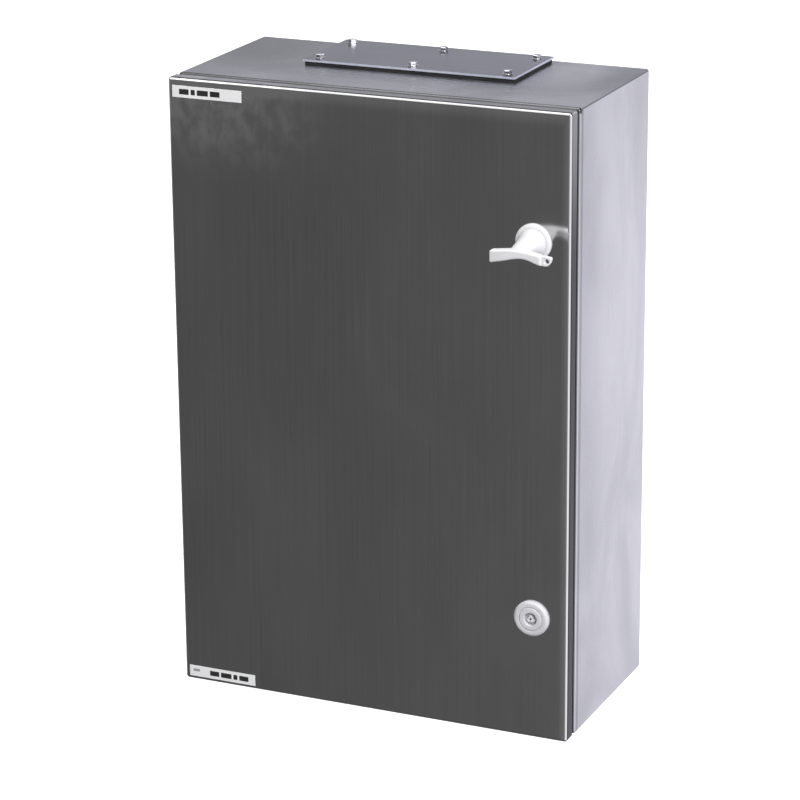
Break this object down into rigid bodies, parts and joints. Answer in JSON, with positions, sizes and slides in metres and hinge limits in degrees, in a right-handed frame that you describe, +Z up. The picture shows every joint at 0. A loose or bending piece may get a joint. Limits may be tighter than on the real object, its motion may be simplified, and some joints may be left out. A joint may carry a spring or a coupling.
{
  "type": "fused disconnect switch",
  "caption": "Wall-mounted fused switch-disconnector in a stainless sheet case with hinged door, rotary handle, quarter-turn lock, top gland plate and pull-out fuse carriers.",
  "frame": {"origin": "centre of the case's back face, which is also the centre of the wall fixing pattern", "axes": "+X to the right seen from the front, +Y back into the wall, +Z up; the door faces -Y"},
  "size_m": [0.4, 0.246, 0.6085],
  "materials": {
    "brushed_case": "vertically brushed stainless sheet",
    "brushed_door": "dark-looking vertically brushed stainless sheet",
    "gland_steel": "satin stainless sheet",
    "black_rubber": "matt black cellular rubber",
    "bright_steel": "plain stainless fastener",
    "zinc_plate": "galvanised sheet",
    "white_plastic": "off-white moulded plastic",
    "grey_metal": "light grey lacquered die-casting",
    "zinc_cast": "bright cast zinc",
    "label_white": "white plastic film",
    "moulded_base": "dark grey thermoset moulding",
    "moulded_cover": "light grey moulding",
    "carrier_black": "black moulding",
    "ceramic_white": "glazed ceramic",
    "copper_plated": "tin-plated copper",
    "brass_bar": "plain brass"
  },
  "bodies": {
    "cabinet": {"enclosure_body": "brushed_case", "gland_seal": "black_rubber", "gland_plate": "gland_steel", "gland_bolts": "bright_steel", "gland_nuts": "bright_steel", "mounting_plate": "zinc_plate", "mounting_studs": "bright_steel", "mounting_nuts": "bright_steel", "case_hinge_leaves": "bright_steel", "hinge_pins": "bright_steel", "switch_base": "moulded_base", "switch_foot_screws": "bright_steel", "arc_cover": "moulded_cover", "cover_screws": "bright_steel", "terminal_bolts": "bright_steel", "terminal_nuts": "bright_steel", "mechanism_housing": "moulded_cover", "earth_bar": "brass_bar", "earth_bar_screws": "bright_steel", "earth_bar_pillars": "bright_steel", "earth_stud": "bright_steel", "earth_nut": "bright_steel", "line_contact_1": "copper_plated", "link_contact_1": "copper_plated", "load_contact_1": "copper_plated", "line_contact_2": "copper_plated", "link_contact_2": "copper_plated", "load_contact_2": "copper_plated", "line_contact_3": "copper_plated", "link_contact_3": "copper_plated", "load_contact_3": "copper_plated"},
    "door": {"door_panel": "brushed_door", "door_seal": "black_rubber", "door_hinge_leaves": "bright_steel", "handle_rosette": "white_plastic", "handle_ring_nut": "zinc_cast", "lock_housing": "grey_metal", "lock_ring_nut": "zinc_cast", "label_upper": "label_white", "label_lower": "label_white", "door_earth_stud": "bright_steel", "door_earth_nut": "bright_steel"},
    "handle": {"handle_lever": "white_plastic", "handle_stem": "zinc_cast"},
    "lock": {"lock_spindle": "zinc_cast", "lock_cam": "bright_steel", "cam_nut": "bright_steel"},
    "operating_shaft": {"drive_shaft": "bright_steel"},
    "contact_rotor": {"contact_rotor": "carrier_black", "rotor_blades": "copper_plated"},
    "carrier_1": {"fuse_carrier_1": "carrier_black", "fuse_barrel_1": "ceramic_white", "fuse_blades_1": "copper_plated"},
    "carrier_2": {"fuse_carrier_2": "carrier_black", "fuse_barrel_2": "ceramic_white", "fuse_blades_2": "copper_plated"},
    "carrier_3": {"fuse_carrier_3": "carrier_black", "fuse_barrel_3": "ceramic_white", "fuse_blades_3": "copper_plated"}
  },
  "joints": [
    {"name": "door_swing", "type": "hinge", "parent": "cabinet", "child": "door", "pos_m": [-0.1963, -0.183, 0], "axis": [0, 0, -1], "range_deg": [0, 100]},
    {"name": "handle_turn", "type": "hinge", "parent": "door", "child": "handle", "pos_m": [0.1645, -0.2, 0.18], "axis": [0, 1, 0], "range_deg": [0, 90]},
    {"name": "lock_turn", "type": "hinge", "parent": "door", "child": "lock", "pos_m": [0.1645, -0.2, -0.18], "axis": [0, 1, 0], "range_deg": [0, 90]},
    {"name": "shaft_turn", "type": "hinge", "parent": "cabinet", "child": "operating_shaft", "pos_m": [0.1645, -0.1, 0.18], "axis": [0, 1, 0], "range_deg": [0, 90]},
    {"name": "rotor_turn", "type": "hinge", "parent": "cabinet", "child": "contact_rotor", "pos_m": [0, -0.054, 0.18], "axis": [1, 0, 0], "range_deg": [0, 90]},
    {"name": "carrier_pull_1", "type": "slide", "parent": "cabinet", "child": "carrier_1", "axis": [0, -1, 0], "range_m": [0, 0.06]},
    {"name": "carrier_pull_2", "type": "slide", "parent": "cabinet", "child": "carrier_2", "axis": [0, -1, 0], "range_m": [0, 0.06]},
    {"name": "carrier_pull_3", "type": "slide", "parent": "cabinet", "child": "carrier_3", "axis": [0, -1, 0], "range_m": [0, 0.06]}
  ],
  "couplings": [
    {"joint": "shaft_turn", "follows": "handle_turn", "ratio": 1},
    {"joint": "rotor_turn", "follows": "handle_turn", "ratio": 1}
  ]
}
